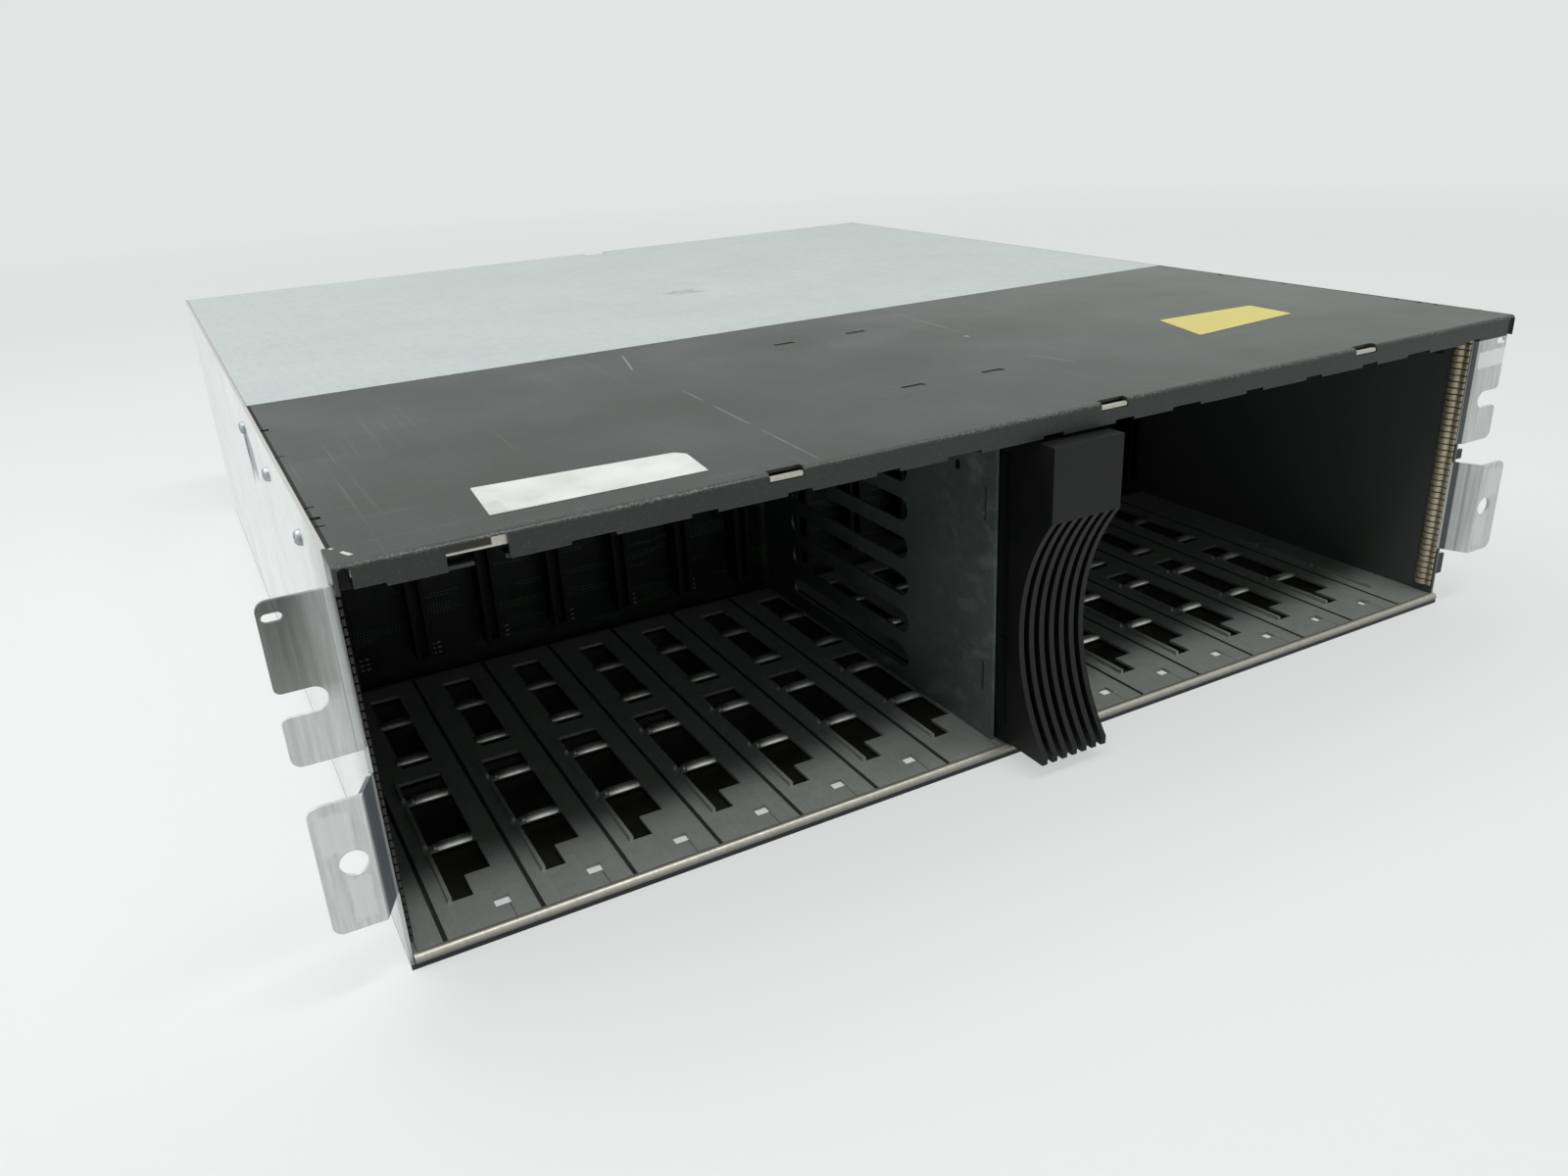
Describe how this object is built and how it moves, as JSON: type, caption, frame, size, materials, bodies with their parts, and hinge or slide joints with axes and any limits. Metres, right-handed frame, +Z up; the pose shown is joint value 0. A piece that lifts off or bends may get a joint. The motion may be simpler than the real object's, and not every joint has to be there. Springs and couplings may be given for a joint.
{
  "type": "storage enclosure",
  "caption": "Rack-mount sheet-metal drive enclosure with open front bays, one drive blank, a midplane and slide-out rear power, blower, link and monitor modules.",
  "frame": {"origin": "underside of the base pan, on the middle line, level with the front edges of the side walls", "axes": "+X to the right seen from the front, +Y towards the rear, +Z up"},
  "size_m": [0.4826, 0.5115, 0.1275],
  "materials": {
    "floor_zinc": "plated sheet, satin",
    "wall_zinc": "galvanised sheet, satin",
    "cover_black": "fine satin paint",
    "cover_zinc": "pale plated sheet",
    "bright_strip": "bright spring strip",
    "finger_brass": "plated spring fingers",
    "screw_steel": "plated",
    "board_green": "circuit board",
    "plug_black": "moulded",
    "blank_black": "fine grained moulding",
    "clip_steel": "dark spring sheet",
    "case_zinc": "plated sheet",
    "inlet_black": "moulded",
    "handle_grey": "moulded",
    "blower_black": "moulded",
    "motor_steel": "plated",
    "guard_steel": "plated",
    "cage_steel": "bright plated",
    "window_dark": "smoked",
    "button_grey": "moulded",
    "tape_white": "blank adhesive tape",
    "sticker_yellow": "blank adhesive sticker",
    "film_black": "insulating film"
  },
  "bodies": {
    "chassis": {"base_pan": "floor_zinc", "drive_guide_plate": "floor_zinc", "left_side_wall": "wall_zinc", "right_side_wall": "wall_zinc", "drive_bay_cover": "cover_black", "rear_top_cover": "cover_zinc", "centre_divider": "floor_zinc", "floor_edge_gasket": "bright_strip", "lip_gasket": "bright_strip", "left_finger_gasket": "finger_brass", "right_finger_gasket": "finger_brass", "cover_screws": "screw_steel", "midplane_board": "board_green", "drive_connectors": "plug_black", "module_connectors": "plug_black", "module_floor_plate": "floor_zinc", "left_partition": "floor_zinc", "right_partition": "floor_zinc", "lower_shelf": "floor_zinc", "upper_shelf": "floor_zinc"},
    "drive_blank": {"blank_body": "blank_black", "blank_ground_clip": "clip_steel"},
    "left_supply": {"left_supply_case": "case_zinc", "left_converter_board": "board_green", "left_power_inlet": "inlet_black"},
    "left_handle": {"left_supply_handle": "handle_grey"},
    "left_blower": {"left_blower_housing": "blower_black", "left_blower_motor": "motor_steel", "left_blower_guard": "guard_steel"},
    "left_impeller": {"left_blower_impeller": "blower_black"},
    "right_supply": {"right_supply_case": "case_zinc", "right_converter_board": "board_green", "right_power_inlet": "inlet_black"},
    "right_handle": {"right_supply_handle": "handle_grey"},
    "right_blower": {"right_blower_housing": "blower_black", "right_blower_motor": "motor_steel", "right_blower_guard": "guard_steel"},
    "right_impeller": {"right_blower_impeller": "blower_black"},
    "lower_link": {"lower_link_case": "case_zinc", "lower_port_cages": "cage_steel"},
    "lower_left_lever": {"lower_lever_left": "handle_grey"},
    "lower_right_lever": {"lower_lever_right": "handle_grey"},
    "upper_link": {"upper_link_case": "case_zinc", "upper_port_cages": "cage_steel"},
    "upper_left_lever": {"upper_lever_left": "handle_grey"},
    "upper_right_lever": {"upper_lever_right": "handle_grey"},
    "monitor": {"monitor_case": "case_zinc", "display_window": "window_dark"},
    "button": {"monitor_button": "button_grey"}
  },
  "joints": [
    {"name": "blank_slide", "type": "slide", "parent": "chassis", "child": "drive_blank", "axis": [0, -1, 0], "range_m": [0, 0.06]},
    {"name": "left_supply_slide", "type": "slide", "parent": "chassis", "child": "left_supply", "axis": [0, 1, 0], "range_m": [0, 0.25]},
    {"name": "left_handle_hinge", "type": "hinge", "parent": "left_supply", "child": "left_handle", "pos_m": [-0.1926, 0.4865, 0.1162], "axis": [1, 0, 0], "range_deg": [0, 100]},
    {"name": "left_blower_slide", "type": "slide", "parent": "chassis", "child": "left_blower", "axis": [0, 1, 0], "range_m": [0, 0.12]},
    {"name": "left_impeller_spin", "type": "hinge", "parent": "left_blower", "child": "left_impeller", "pos_m": [-0.1194, 0.4615, 0.06505], "axis": [0, 1, 0], "continuous": true},
    {"name": "right_supply_slide", "type": "slide", "parent": "chassis", "child": "right_supply", "axis": [0, 1, 0], "range_m": [0, 0.25]},
    {"name": "right_handle_hinge", "type": "hinge", "parent": "right_supply", "child": "right_handle", "pos_m": [0.1926, 0.4865, 0.1162], "axis": [1, 0, 0], "range_deg": [0, 100]},
    {"name": "right_blower_slide", "type": "slide", "parent": "chassis", "child": "right_blower", "axis": [0, 1, 0], "range_m": [0, 0.12]},
    {"name": "right_impeller_spin", "type": "hinge", "parent": "right_blower", "child": "right_impeller", "pos_m": [0.1194, 0.4615, 0.06505], "axis": [0, 1, 0], "continuous": true},
    {"name": "lower_link_slide", "type": "slide", "parent": "chassis", "child": "lower_link", "axis": [0, 1, 0], "range_m": [0, 0.25]},
    {"name": "lower_left_lever_turn", "type": "hinge", "parent": "lower_link", "child": "lower_left_lever", "pos_m": [-0.059, 0.4865, 0.0227], "axis": [0, 0, 1], "range_deg": [0, 75]},
    {"name": "lower_right_lever_turn", "type": "hinge", "parent": "lower_link", "child": "lower_right_lever", "pos_m": [0.059, 0.4865, 0.0227], "axis": [0, 0, -1], "range_deg": [0, 75]},
    {"name": "upper_link_slide", "type": "slide", "parent": "chassis", "child": "upper_link", "axis": [0, 1, 0], "range_m": [0, 0.25]},
    {"name": "upper_left_lever_turn", "type": "hinge", "parent": "upper_link", "child": "upper_left_lever", "pos_m": [-0.059, 0.4865, 0.0618], "axis": [0, 0, 1], "range_deg": [0, 75]},
    {"name": "upper_right_lever_turn", "type": "hinge", "parent": "upper_link", "child": "upper_right_lever", "pos_m": [0.059, 0.4865, 0.0618], "axis": [0, 0, -1], "range_deg": [0, 75]},
    {"name": "monitor_slide", "type": "slide", "parent": "chassis", "child": "monitor", "axis": [0, 1, 0], "range_m": [0, 0.25]},
    {"name": "button_press", "type": "slide", "parent": "monitor", "child": "button", "axis": [0, -1, 0], "range_m": [0, 0.0015], "stiffness_N_per_m": 400}
  ]
}
